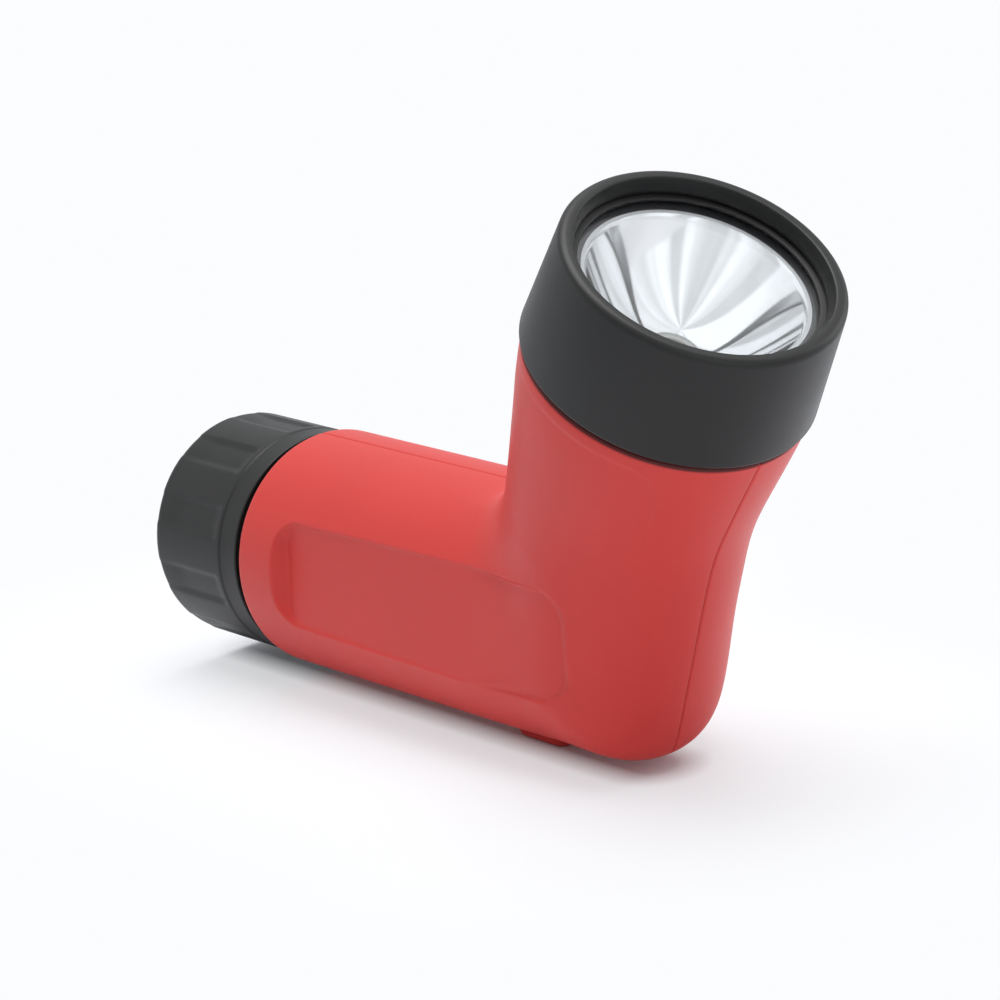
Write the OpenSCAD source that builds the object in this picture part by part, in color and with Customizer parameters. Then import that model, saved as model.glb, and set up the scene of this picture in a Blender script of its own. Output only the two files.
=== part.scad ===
// Rechargeable hand lamp with an angled head.
// The handle lies along X with the screw cap at its -X end, the head leans
// forward from the handle's upright, and Y is across the moulding's seam.
// All sizes are in millimetres.

/* [Handle] */
// Radius of the round handle
handle_r = 25; // [24.6:0.2:27]
// From the elbow's centre back to the seat of the tail cap
handle_l = 80.8; // [76:0.4:88]
// Wall left between the flat grip panel and the battery bore
grip_wall = 1.2; // [1:0.1:3]
// Height of the grip panel at its rear end
grip_h = 21.8; // [18:0.2:23]
// Height of the grip panel at its front end
grip_front_h = 24.4; // [20:0.2:25]
// Depth of the grip panel at its front end
grip_front_d = 0.9; // [0.5:0.1:1.2]
// How far the top of the front end is ahead of its bottom
grip_front_lean = 3.6; // [0:0.2:6]
// Rounding of the grip panel's corners
grip_corner_r = 6.5; // [3:0.5:9]
// How far the grip panels look up from level, in degrees
grip_tilt = 6.8; // [0:0.2:10]
// Slope of the grip panel's end walls, in degrees
grip_end_slope = 57; // [35:1:75]
// Rear end of the grip panel's floor
grip_rear = -67; // [-70:0.5:-50]
// Front end of the grip panel
grip_front = 23.3; // [15:0.1:24]

/* [Elbow and neck] */
// Lean of the head from the handle's upright, in degrees
head_tilt = 32; // [28:1:36]
// From the elbow's centre out to the seat of the head ring
seat_s = 65; // [62:0.5:72]
// Radius of the neck at the seat
neck_r = 28.2; // [27.5:0.1:30]
// Lean of the back of the neck, in degrees
neck_slope = 21.5; // [18:0.5:25]
// Radius of the crook between handle and neck
crook_r = 9; // [6:0.5:12]
// Front of the elbow at the height of the handle's axis
nose_x = 34.9; // [33:0.1:38]
// Lean of the front of the elbow, in degrees
nose_slope = 21.4; // [18:0.2:25]
// Half the width of the body at the waist of the neck
waist_w = 23.4; // [22.8:0.2:25]
// Widening of the neck's front towards its seat, per millimetre
front_flare = 0.09; // [0.02:0.01:0.14]
// Wall of the elbow round its cavity
elbow_wall = 5; // [4.4:0.2:6]
// Wall of the handle round the chamber of the switch
chamber_wall = 6.6; // [6:0.2:7]

/* [Head ring] */
// Outer radius at the rear of the head ring
ring_rear_r = 28.9; // [28:0.1:31]
// How much smaller the ring is at its front
ring_taper = 1.3; // [0.2:0.1:2]
// Length of the head ring
ring_l = 24.5; // [23.5:0.1:27]
// Wall of the head ring at its rear
ring_wall = 3; // [2.5:0.1:3.5]
// Rounding of the front rim
ring_round = 1.5; // [0.8:0.1:1.8]
// Width of the front face, with its rounding
ring_face_w = 2.8; // [2.4:0.1:3.4]
// How far the lip reaches in over the lens
ring_lip_w = 1.8; // [1.2:0.1:2]
// Thickness of the lip
ring_lip_t = 0.8; // [0.6:0.1:1.6]
// Running clearance of the screwed pieces
screw_clear = 0.3; // [0.25:0.05:0.4]
// Length of the head spigot that the ring screws onto
spigot_l = 17.2; // [15:0.1:18]
// Wall of the head spigot
spigot_wall = 2.4; // [2:0.1:2.8]

/* [Lamp] */
// Thickness of the lens
lens_t = 1.6; // [1.2:0.1:2]
// Clearance round the lens
lens_clear = 0.5; // [0.3:0.1:0.8]
// Thickness of the lens gasket
gasket_t = 0.7; // [0.5:0.1:1]
// Width of the lens gasket
gasket_w = 2.4; // [2:0.1:3]
// Clearance between the dish and the spigot's bore
dish_clear = 0.7; // [0.4:0.1:1.5]
// Wall of the dish
dish_wall = 1.3; // [1:0.1:1.4]
// Focal length of the dish
dish_focus = 6.6; // [6:0.1:7.5]
// Radius of the hole for the light source
dish_hole_r = 5.5; // [4.5:0.1:6]
// Thickness of the reflector's flange
flange_t = 1.4; // [1:0.1:1.8]
// How far the flange stays inside the spigot's edge
flange_inset = 0.6; // [0.3:0.1:1]
// Radius of the heat sink
sink_r = 16; // [15.5:0.5:17]
// Thickness of the heat sink
sink_t = 6; // [4:0.5:7]
// Circle of the lamp screws
lamp_screw_pcd = 25; // [24:0.5:26]

/* [Battery] */
// Radius of a cell
cell_r = 9.15; // [9:0.05:9.2]
// Length of a cell
cell_l = 65; // [62:0.5:70]
// Wall of the sleeve round the cells
sleeve_t = 0.3; // [0.2:0.05:0.35]
// Clearance between the pack and its bore
bore_clear = 0.4; // [0.3:0.05:0.5]
// Thickness of the pack's end plates
plate_t = 2; // [1.5:0.1:2.4]
// Room for the contact springs in front of the pack
contact_gap = 5; // [4:0.5:7]
// Radius of the charging socket
socket_r = 4.6; // [4:0.1:5]
// Bore of the charging socket
socket_bore_r = 2.8; // [2.6:0.1:3.2]
// Length of the charging socket behind its plate
socket_l = 6.5; // [5:0.1:7]

/* [Tail cap] */
// Length of the tail neck that the cap screws onto
tail_neck_l = 19; // [14:0.5:22]
// Wall of the tail neck round the battery bore
tail_neck_wall = 1.37; // [1.2:0.05:1.8]
// Wall of the cap under its ridges
cap_wall = 1.8; // [1.6:0.1:2.4]
// How much smaller the smooth collar is than the ridges
collar_step = 0.2; // [0.1:0.05:0.4]
// Length of the collar
collar_l = 6.5; // [4:0.5:9]
// Number of grooves in the grip
groove_n = 10; // [6:1:12]
// Width of a groove
groove_w = 6.4; // [4:0.2:8]
// Depth of a groove
groove_d = 0.6; // [0.4:0.1:1]
// Room for the tail spring behind the pack
spring_room = 9.9; // [9:0.1:14]
// Thickness of the cap's end wall
cap_end_t = 2.8; // [2:0.2:3.4]
// Thickness of the tail gasket
tail_gasket_t = 1; // [0.8:0.1:1.4]

/* [Switch] */
// Middle of the switch slider, ahead of the contact board's ledge
switch_ahead = 14.8; // [13:0.2:16]
// Length of the switch slider
slider_l = 15; // [13:0.5:17]
// Width of the switch slider
slider_w = 12; // [10:0.5:13]
// How far the slider stands out below the round of the handle
slider_proud = 2.5; // [1.5:0.1:3]
// Travel of the slider
slider_travel = 5; // [3:0.5:6]
// Clearance round the slider
slide_clear = 0.3; // [0.25:0.05:0.4]

/* [Circuit board] */
// Length of the driver board
board_l = 30; // [26:1:31]
// Width of the driver board
board_w = 24; // [22:0.5:25]
// Thickness of the circuit boards
board_t = 1.6; // [1:0.1:2]

/* [Hidden] */
$fn = 64;

// Steps of the moulded body: rings along it and points round half of it
corner_rings = 10;
neck_rings = 9;
half_steps = 26;
// Sharpness of the elbow's lower corner, and reach of the rounding at the waist
corner_power = 34;
waist_round = 0.8;

// Directions of the head in the XZ plane: along its axis, and square to it towards the front
head_dir = [sin(head_tilt), cos(head_tilt)];
front_dir = [cos(head_tilt), -sin(head_tilt)];
nose_normal = [cos(nose_slope), -sin(nose_slope)];

// Radii of the head, from the ring inwards
ring_front_r = ring_rear_r - ring_taper;
ring_mouth_r = ring_front_r - ring_face_w;
ring_bore_r = ring_rear_r - ring_wall;
ring_lip_r = ring_bore_r - ring_lip_w;
ring_edge = 0.3;
spigot_r = ring_bore_r - screw_clear;
spigot_bore_r = spigot_r - spigot_wall;
lens_r = ring_bore_r - lens_clear;
gasket_r = lens_r - gasket_w;
flange_r = spigot_r - flange_inset;
dish_r = spigot_bore_r - dish_clear - dish_wall;

// Stack of the lamp along the head's axis, from the seat outwards
fit_gap = screw_clear;
seat_gap = 0.4;
ring_rear_s = seat_s + seat_gap;
ring_front_s = ring_rear_s + ring_l;
spigot_end_s = seat_s + spigot_l;
flange_top_s = spigot_end_s + flange_t;
lens_s = flange_top_s + fit_gap;
gasket_s = lens_s + lens_t;
lip_s = gasket_s + gasket_t + fit_gap;
dish_s0 = flange_top_s - dish_r * dish_r / (4 * dish_focus);
hole_s = dish_s0 + dish_hole_r * dish_hole_r / (4 * dish_focus);
dish_base_t = 0.4;
dish_base_s = hole_s - dish_base_t;
spacer_t = 1;
led_board_r = lamp_screw_pcd / 2 - 2;
led_board_s = dish_base_s - spacer_t - board_t;
sink_s = led_board_s - sink_t;

// Seal of the head ring, let into the spigot
o_ring_s = seat_s + 3.3;
o_ring_r = 0.58;
o_ring_groove_d = 1.2;

// Radii of the handle, from the cells outwards
cell_gap = 0.2;
cell_ring_r = (2 * cell_r + cell_gap) / sqrt(3);
pack_clear = 0.12;
sleeve_bore_r = cell_ring_r + cell_r + pack_clear;
pack_r = sleeve_bore_r + sleeve_t;
bore_r = pack_r + bore_clear;
contact_board_r = bore_r - 0.2;
tail_neck_r = bore_r + tail_neck_wall;
cap_bore_r = tail_neck_r + screw_clear;
cap_r = cap_bore_r + cap_wall;
cap_pocket_r = cap_bore_r - 1.5;
cap_edge_r = 2;
collar_r = cap_r - collar_step;
collar_edge = 0.4;

// Tail neck and battery pack, from the body's seat back and then forwards
seat_x = -handle_l;
neck_end_x = seat_x - tail_neck_l;
pack_proud = 0.7;
link_t = 0.3;
link_w = 6;
pack_rear_x = neck_end_x - pack_proud;
cells_x = pack_rear_x + plate_t + link_t;
front_plate_x = cells_x + cell_l + link_t;
pack_front_x = front_plate_x + plate_t;
contact_x = pack_front_x + contact_gap;
ledge_x = contact_x + board_t;

// Tail cap, with room for the spring behind the pack
cap_mouth_x = seat_x - tail_gasket_t - fit_gap;
cap_floor_x = pack_rear_x - spring_room;
cap_end_x = cap_floor_x - cap_end_t;
cap_l = cap_mouth_x - cap_end_x;
cap_step_x = neck_end_x - 0.5;
groove_end_x = cap_mouth_x - collar_l - 1.8;

// Elbow cavity in front of the ledge
chamber_r = handle_r - chamber_wall;
chamber_end_x = ledge_x + board_l + 8.3;
neck_bore_r = waist_w - elbow_wall;
neck_bore_s = 10;

// Switch, from the outside in
switch_x = ledge_x + switch_ahead;
base_h = handle_r + slider_proud;
slider_flat_z = -handle_r + 1.5;
slider_bevel = 2;
slider_corner_r = 2.2;
rib_pitch = 3;
rib_groove_r = 0.6;
rib_groove_l = slider_w - 4;
well_floor_z = slider_flat_z + 4;
slider_plate_t = 1.2;
slider_plate_z = well_floor_z + slide_clear;
slider_top_z = slider_plate_z + slider_plate_t;
stem_l = 5;
stem_w = 4.4;
slider_plate_l = slider_l + 3;
slider_plate_w = 11;
well_l = slider_plate_l + slider_travel + 2 * slide_clear;
well_w = slider_plate_w + 2 * slide_clear;
lever_l = 3;
lever_w = 2.4;
lever_h = 2.6;
lever_in = 1;
case_l = 16;
case_w = 7;
case_h = 5;
case_z = slider_top_z + lever_h - lever_in;

// Driver board on its two rails, with its parts placed from its rear edge
board_z = case_z + case_h;
board_top_z = board_z + board_t;
board_x = ledge_x + 1.2;
rail_w = 4;
rail_h = 4;
board_screw_in = 3;
board_screw_y = board_w / 2 - 1.7;
coil_r = 4;
coil_h = 5;
capacitor_r = 2.5;
capacitor_h = 7;
parts_x = board_x + 5 + coil_r;
coil_y = 3.5;
capacitor_y = -5;
chip_l = 5;
chip_w = 6;
chip_h = 1.5;
chip_x = parts_x + coil_r + 1;
lamp_pad_x = board_x + board_l - 7;
battery_pad_x = board_x + 4.2;
battery_wire_y = 6;

// Fasteners and wires
screw_r = 1.2;
screw_head_r = 2.2;
screw_head_h = 1.6;
board_screw_head_r = 1.6;
board_screw_head_h = 1.2;
post_r = 2.7;
post_h = 10;
screw_bite = 5;
thread_clear = 0.05;
hole_clear = 0.2;
wire_r = 0.6;
solder_gap = 0.05;

// Springs
contact_wire_r = 0.5;
contact_coil_r = 5;
contact_y = 9;
spring_wire_r = 0.6;
spring_turns = 3;
spring_coil_r = 11;
seat_plate_t = 1;
spring_x = cap_floor_x + fit_gap + seat_plate_t + spring_wire_r;
spring_l = pack_rear_x - fit_gap - spring_wire_r - spring_x;

// Row origin: below the middle of the box, on the surface that the lamp lies on
rim_mid_s = ring_front_s - ring_round;
rim_mid_r = ring_front_r - ring_round;
front_x = rim_mid_s * head_dir.x + rim_mid_r * head_dir.y + ring_round;
mid_x = (front_x + cap_end_x) / 2;

function mix(a, b, t) = a + (b - a) * t;
function smooth(t) = t * t * (3 - 2 * t);
function soft_min(a, b, n) = pow(pow(a, -n) + pow(b, -n), -1 / n);
function soft_max(a, b, reach) = max(a, b) + reach * ln(1 + exp(-abs(a - b) / reach));

// Centre of the crook, about which the elbow's rings fan out from the handle to the neck
seat_back = seat_s * head_dir - neck_r * front_dir;
crook_z = handle_r + crook_r;
crook_x = seat_back.x - (crook_r + sin(neck_slope) * (seat_back.y - crook_z)) / cos(neck_slope);
crook = [crook_x, crook_z];
fan_end = 90 - neck_slope;
// Rays of the fan, closest together where the underside turns up into the nose
corner_turn = atan2(nose_x - handle_r * tan(nose_slope) - crook_x, crook_z + handle_r);
corner_half = 8;
fan_rays = concat(
    [for (i = [1 : 4]) (corner_turn - corner_half) * i / 4],
    [for (i = [1 : corner_rings]) corner_turn + corner_half * (2 * i / corner_rings - 1)],
    [for (i = [1 : 5]) corner_turn + corner_half + (fan_end - corner_turn - corner_half) * i / 5]
);

function fan_dir(a) = [sin(a), -cos(a)];
function nose_reach(p, d) = ([nose_x, 0] - p) * nose_normal / (d * nose_normal);
function flare_reach(p, d) =
    (neck_r - front_flare * (seat_s - p * head_dir) - p * front_dir)
    / (d * (front_dir - front_flare * head_dir));
function front_reach(p, d) = soft_max(nose_reach(p, d), flare_reach(p, d), waist_round);
function fan_reach(a) =
    soft_min((crook.y + handle_r) / cos(a), front_reach(crook, fan_dir(a)), corner_power);
function neck_front(s) = front_reach(s * head_dir, front_dir);

// One ring of the left half: an ellipse from the point at its back to the point at its front
function half_ring(back, front, w) = [
    for (i = [0 : half_steps])
        let (t = 180 * i / half_steps, p = (back + front) / 2 + (back - front) / 2 * cos(t))
        [p.x, -w * sin(t), p.y]
];

fan_back = crook + crook_r * fan_dir(fan_end);
fan_front_s = (crook + fan_reach(fan_end) * fan_dir(fan_end)) * head_dir;

body_rings = concat(
    [for (x = [seat_x, (seat_x + crook.x) / 2, crook.x]) half_ring([x, handle_r], [x, -handle_r], handle_r)],
    [
        for (a = fan_rays)
            let (d = fan_dir(a), w = mix(handle_r, waist_w, smooth(min(2 * a / fan_end, 1))))
            half_ring(crook + crook_r * d, crook + fan_reach(a) * d, w)
    ],
    [
        for (i = [1 : neck_rings])
            let (t = i / neck_rings, s = mix(fan_front_s, seat_s, t))
            half_ring(mix(fan_back, seat_back, t), s * head_dir + neck_front(s) * front_dir,
                      mix(waist_w, neck_r, smooth(t)))
    ]
);

// Closed solid through a row of open rings whose ends lie in one flat seam
module skin(rings) {
    n = len(rings[0]);
    last = len(rings) - 1;
    polyhedron(
        points = [for (r = rings) each r],
        faces = concat(
            [[for (j = [0 : n - 1]) j]],
            [[for (j = [n - 1 : -1 : 0]) last * n + j]],
            [for (i = [0 : last - 1]) [i * n, (i + 1) * n, (i + 1) * n + n - 1, i * n + n - 1]],
            [
                for (i = [0 : last - 1], j = [0 : n - 2])
                    each [
                        [i * n + j, i * n + j + 1, (i + 1) * n + j + 1],
                        [i * n + j, (i + 1) * n + j + 1, (i + 1) * n + j]
                    ]
            ]
        )
    );
}

// Round tube through a row of points, closed at both ends
module tube(path, r, sides) {
    n = len(path);
    function heading(i) =
        let (d = path[min(i + 1, n - 1)] - path[max(i - 1, 0)]) d / norm(d);
    function side(i) =
        let (d = heading(i), c = cross(d, abs(d.x) > 0.9 ? [0, 1, 0] : [1, 0, 0])) c / norm(c);
    polyhedron(
        points = [
            for (i = [0 : n - 1], k = [0 : sides - 1])
                let (u = side(i), v = cross(heading(i), u), a = 360 * k / sides)
                path[i] + r * (cos(a) * u + sin(a) * v)
        ],
        faces = concat(
            [[for (k = [0 : sides - 1]) k]],
            [[for (k = [sides - 1 : -1 : 0]) (n - 1) * sides + k]],
            [
                for (i = [0 : n - 2], k = [0 : sides - 1])
                    let (m = (k + 1) % sides)
                    each [
                        [i * sides + k, (i + 1) * sides + m, i * sides + m],
                        [i * sides + k, (i + 1) * sides + k, (i + 1) * sides + m]
                    ]
            ]
        )
    );
}

module place() { translate([-mid_x, 0, base_h]) children(); }
module along_handle(x) { translate([x, 0, 0]) rotate([0, 90, 0]) children(); }
module along_head(s) { rotate([0, head_tilt, 0]) translate([0, 0, s]) children(); }
module left_half() {
    intersection() {
        children();
        translate([-200, -200, -200]) cube([400, 200, 400]);
    }
}
module disc(r, h, hole) {
    difference() {
        cylinder(r = r, h = h);
        translate([0, 0, -1]) cylinder(r = hole, h = h + 2);
    }
}
module rounded_plate(l, w, h, r) {
    linear_extrude(h) {
        square([l - 2 * r, w], center = true);
        square([l, w - 2 * r], center = true);
        for (x = [-1, 1], y = [-1, 1])
            translate([x * (l / 2 - r), y * (w / 2 - r)]) circle(r);
    }
}

// Grip panel let into the side of the handle. Its floor is flat along the handle, and further forward it
// follows the elbow at an even depth.
grip_floor_y = bore_r + grip_wall;
grip_out = [0, -cos(grip_tilt), sin(grip_tilt)];
grip_up = [0, sin(grip_tilt), cos(grip_tilt)];
grip_blend_l = 22;
function grip_depth(p) =
    let (t = (p.x - grip_front) / grip_blend_l + 1.4)
    mix(max(p * grip_out - grip_floor_y, 0), grip_front_d, smooth(min(max(t, 0), 1)));
grip_rings = [
    for (ring = body_rings) [
        for (p = ring)
            let (beside = abs(p * grip_up) < grip_front_h / 2 + 2 && p * grip_out > handle_r / 2)
            beside ? p - grip_depth(p) * grip_out : p
    ]
];
function corner(x, y, start) =
    [for (a = [start : 15 : start + 90]) [x, y] + grip_corner_r * [cos(a), sin(a)]];
module grip_panel() {
    reach = 20;
    core = handle_r / 2;
    rear_slope = 1 / tan(grip_end_slope);
    rear = grip_rear - (handle_r - grip_floor_y) * rear_slope;
    rear_z = min(grip_h / 2, sqrt(max(handle_r * handle_r - grip_floor_y * grip_floor_y, 1))) - grip_corner_r;
    front_z = grip_front_h / 2 - grip_corner_r;
    difference() {
        rotate([-grip_tilt, 0, 0])
            intersection() {
                translate([0, -core, 0]) rotate([90, 0, 0])
                    linear_extrude(reach)
                        polygon(concat(
                            corner(grip_front - grip_corner_r, front_z, 0),
                            corner(rear + grip_corner_r, rear_z, 90),
                            corner(rear + grip_corner_r, -rear_z, 180),
                            corner(grip_front - grip_front_lean - grip_corner_r, -front_z, 270)
                        ));
                linear_extrude(2 * grip_front_h, center = true)
                    polygon([
                        [grip_rear + (grip_floor_y - core) * rear_slope, -core],
                        [grip_rear + (grip_floor_y - core - reach) * rear_slope, -core - reach],
                        [grip_front + reach, -core - reach], [grip_front + reach, -core]
                    ]);
            }
        skin(grip_rings);
    }
}

module battery_bore() {
    along_handle(neck_end_x - 1) cylinder(r = bore_r, h = ledge_x - neck_end_x + 1);
}
module elbow_cavity() {
    along_handle(ledge_x - 1) cylinder(r = chamber_r, h = chamber_end_x - ledge_x + 1);
    along_head(neck_bore_s) cylinder(r1 = neck_bore_r, r2 = spigot_bore_r, h = seat_s - neck_bore_s);
    along_head(seat_s - 1) cylinder(r = spigot_bore_r, h = spigot_l + 2);
}
module o_ring_groove() {
    along_head(o_ring_s - 0.8) disc(spigot_r + 1, 1.6, spigot_r - o_ring_groove_d);
}
module switch_openings() {
    travel_l = slider_travel + 2 * slide_clear;
    mid = switch_x + slider_travel / 2;
    // flat on the outside that the slider runs along
    translate([mid, 0, slider_flat_z - 10])
        rounded_plate(slider_l + travel_l, slider_w + 2 * slide_clear, 10, 2.5);
    // slot for the stem, and the flat floor of the well inside
    translate([mid, 0, slider_flat_z - 1])
        linear_extrude(10) square([stem_l + travel_l, stem_w + 2 * slide_clear], center = true);
    translate([mid, 0, well_floor_z]) linear_extrude(8) square([well_l, well_w], center = true);
}
module board_rail() {
    intersection() {
        translate([board_x, -handle_r, board_z - rail_h])
            cube([board_l, handle_r - board_w / 2 + rail_w, rail_h]);
        along_handle(board_x) cylinder(r = chamber_r + 1, h = board_l);
    }
}
module board_screw_places() {
    for (x = [board_screw_in, board_l - board_screw_in], y = [-1, 1])
        translate([board_x + x, y * board_screw_y, 0]) children();
}

module body_half() {
    difference() {
        union() {
            difference() {
                union() {
                    skin(body_rings);
                    left_half() along_handle(neck_end_x) cylinder(r = tail_neck_r, h = tail_neck_l + 2);
                    left_half() along_head(seat_s - 2) cylinder(r = spigot_r, h = spigot_l + 2);
                }
                battery_bore();
                elbow_cavity();
                grip_panel();
                o_ring_groove();
            }
            board_rail();
        }
        switch_openings();
        board_screw_places() translate([0, 0, board_z - rail_h - 1])
            cylinder(r = screw_r + thread_clear, h = rail_h + 2);
    }
}
module body_half_left() { color("firebrick") place() body_half(); }
module body_half_right() { color("firebrick") place() mirror([0, 1, 0]) body_half(); }

module head_o_ring() {
    color("black") place() along_head(o_ring_s)
        rotate_extrude()
            translate([spigot_r - o_ring_groove_d + o_ring_r + 0.02, 0]) circle(o_ring_r, $fn = 24);
}
module tail_gasket() {
    color("black") place() along_handle(seat_x - tail_gasket_t)
        disc(collar_r - collar_edge, tail_gasket_t, tail_neck_r + thread_clear);
}

// Points of the dish's curve, from its hole to its rim, moved out by a wall
dish_steps = 12;
function dish_curve(wall) = [
    for (i = [0 : dish_steps])
        let (r = mix(dish_hole_r, dish_r, i / dish_steps), slope = r / (2 * dish_focus))
        [r, dish_s0 + r * r / (4 * dish_focus)] + wall / norm([slope, 1]) * [slope, -1]
];
module lamp_screw_places() {
    for (a = [60, 180, 300]) rotate(a) translate([lamp_screw_pcd / 2, 0, 0]) children();
}
module reflector() {
    inside = dish_curve(0);
    outside = [for (p = dish_curve(dish_wall)) if (p.y > dish_base_s && p.y < spigot_end_s - 0.5) p];
    edge = [for (i = [len(outside) - 1 : -1 : 0]) outside[i]];
    color("silver") place() along_head(0) {
        difference() {
            union() {
                rotate_extrude() polygon(concat(
                    inside,
                    [[flange_r, flange_top_s], [flange_r, spigot_end_s], [dish_r + dish_wall, spigot_end_s]],
                    edge,
                    [[dish_hole_r + dish_wall, dish_base_s], [dish_hole_r, dish_base_s]]
                ));
                lamp_screw_places() translate([0, 0, led_board_s]) cylinder(r = post_r, h = post_h);
            }
            rotate_extrude() polygon(concat(inside, [[0, flange_top_s + 1], [0, hole_s - 1]]));
            lamp_screw_places() translate([0, 0, led_board_s - 1])
                cylinder(r = screw_r + thread_clear, h = screw_bite + 2);
        }
    }
}
module led_emitter() {
    color("khaki") place() along_head(led_board_s + board_t) {
        cylinder(r = 2.6, h = 1.2);
        translate([0, 0, 1.2]) intersection() {
            sphere(2);
            cylinder(r = 3, h = 3);
        }
    }
}
module led_board() {
    color("gainsboro") place() along_head(led_board_s)
        difference() {
            cylinder(r = led_board_r, h = board_t);
            lamp_screw_places() translate([0, 0, -1]) cylinder(r = post_r + hole_clear, h = board_t + 2);
        }
}
module led_spacer() {
    color("white") place() along_head(led_board_s + board_t)
        disc(dish_hole_r + dish_wall, spacer_t, dish_hole_r - 1);
}
module heat_sink() {
    color("lightgray") place() along_head(sink_s)
        difference() {
            cylinder(r = sink_r, h = sink_t);
            lamp_screw_places() translate([0, 0, -1]) cylinder(r = screw_r + hole_clear, h = sink_t + 2);
            for (a = [90, 270])
                rotate(a) translate([lamp_screw_pcd / 2, 0, -1]) cylinder(r = 2 * wire_r, h = sink_t + 2);
            // turned groove that leaves two cooling fins round the rim
            translate([0, 0, sink_t / 3]) disc(sink_r + 1, sink_t / 3, sink_r - 2.5);
        }
}
module lamp_screws() {
    color("silver") place() along_head(sink_s)
        lamp_screw_places() {
            translate([0, 0, -screw_head_h]) cylinder(r = screw_head_r, h = screw_head_h);
            cylinder(r = screw_r, h = sink_t + screw_bite);
        }
}
function head_point(r, y, s) = [s * head_dir.x + r * front_dir.x, y, s * head_dir.y + r * front_dir.y];
module lamp_wires() {
    wire_y = lamp_screw_pcd / 2;
    color("red") place()
        for (side = [-1, 1])
            tube([
                [lamp_pad_x, side * 4, board_top_z + solder_gap],
                [lamp_pad_x, side * 4, board_top_z + 5],
                [lamp_pad_x, side * 7, 8],
                head_point(0, side * wire_y, sink_s - 12),
                head_point(0, side * wire_y, sink_s - 2),
                head_point(0, side * wire_y, sink_s + sink_t - 1),
                head_point(0, side * wire_y, led_board_s + board_t),
                head_point(0, side * (wire_y - 1), led_board_s + board_t + 1),
                head_point(0, side * (wire_y - 3), led_board_s + board_t + wire_r + 0.1)
            ], wire_r, 6);
}

module driver_board() {
    color("darkgreen") place()
        difference() {
            translate([board_x, -board_w / 2, board_z]) cube([board_l, board_w, board_t]);
            board_screw_places() translate([0, 0, board_z - 1])
                cylinder(r = screw_r + hole_clear, h = board_t + 2);
        }
}
module driver_parts() {
    color("dimgray") place() translate([0, 0, board_top_z]) {
        translate([parts_x, coil_y, 0]) cylinder(r = coil_r, h = coil_h);
        translate([parts_x, capacitor_y, 0]) cylinder(r = capacitor_r, h = capacitor_h);
        translate([chip_x, -chip_w / 2, 0]) cube([chip_l, chip_w, chip_h]);
    }
}
module board_screws() {
    color("silver") place() board_screw_places() {
        translate([0, 0, board_top_z]) cylinder(r = board_screw_head_r, h = board_screw_head_h);
        translate([0, 0, board_z - rail_h]) cylinder(r = screw_r, h = rail_h + board_t);
    }
}
module switch_case() {
    mid = switch_x + slider_travel / 2;
    color("dimgray") place() translate([mid, 0, case_z])
        difference() {
            translate([-case_l / 2, -case_w / 2, 0]) cube([case_l, case_w, case_h]);
            // channel that the lever slides along
            channel_l = lever_l + slider_travel + 2 * slide_clear;
            translate([-channel_l / 2, -lever_w / 2 - slide_clear, -1])
                cube([channel_l, lever_w + 2 * slide_clear, 1 + lever_in + slide_clear]);
        }
}

module contact_board() {
    color("darkgreen") place() along_handle(contact_x) cylinder(r = contact_board_r, h = board_t);
}
// Cone spring that narrows towards the battery pack
function cone_coil(x0, length, r0, r1, turns, y) = [
    for (i = [0 : 8 * turns])
        let (t = i / (8 * turns), a = 45 * i, r = mix(r0, r1, t))
        [x0 + length * t, y + r * cos(a), r * sin(a)]
];
module contact_springs() {
    end_gap = contact_wire_r + 0.15;
    coil_l = contact_gap - 2 * end_gap;
    color("goldenrod") place()
        for (y = [-contact_y, contact_y])
            tube(cone_coil(contact_x - end_gap, -coil_l, contact_coil_r, contact_coil_r / 2, 3, y),
                 contact_wire_r, 6);
}
module battery_wires() {
    color("red") place()
        for (y = [-battery_wire_y, battery_wire_y])
            tube([
                [ledge_x + solder_gap, y, 2], [battery_pad_x - 2.4, y, 2], [battery_pad_x - 0.4, y, 0],
                [battery_pad_x, y, -3], [battery_pad_x, y, board_top_z + solder_gap]
            ], wire_r, 6);
}

module cell_places() {
    for (a = [90, 210, 330]) rotate(a) translate([cell_ring_r, 0, 0]) children();
}
module battery_cells() {
    color("steelblue") place() along_handle(cells_x) cell_places() cylinder(r = cell_r, h = cell_l);
}
module cell_links() {
    color("silver") place()
        for (x = [cells_x - link_t, cells_x + cell_l])
            along_handle(x) difference() {
                cylinder(r = cell_ring_r + link_w / 2, h = link_t);
                translate([0, 0, -1]) cylinder(r = cell_ring_r - link_w / 2, h = link_t + 2);
            }
}
module pack_sleeve() {
    color("royalblue") place() along_handle(pack_rear_x)
        disc(pack_r, pack_front_x - pack_rear_x, sleeve_bore_r);
}
module pack_plate() { cylinder(r = sleeve_bore_r - thread_clear, h = plate_t); }
module pack_front_plate() { color("darkslategray") place() along_handle(front_plate_x) pack_plate(); }
module pack_rear_plate() { color("darkslategray") place() along_handle(pack_rear_x) pack_plate(); }
module charge_socket() {
    color("black") place() along_handle(pack_rear_x - socket_l) {
        difference() {
            union() {
                cylinder(r = socket_r, h = socket_l);
                translate([0, 0, socket_l - 1.5]) cylinder(r = socket_r + 1.4, h = 1.5);
            }
            translate([0, 0, -1]) cylinder(r = socket_bore_r, h = socket_l);
        }
        translate([0, 0, 0.5]) cylinder(r = 0.9, h = socket_l - 1);
    }
}

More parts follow.
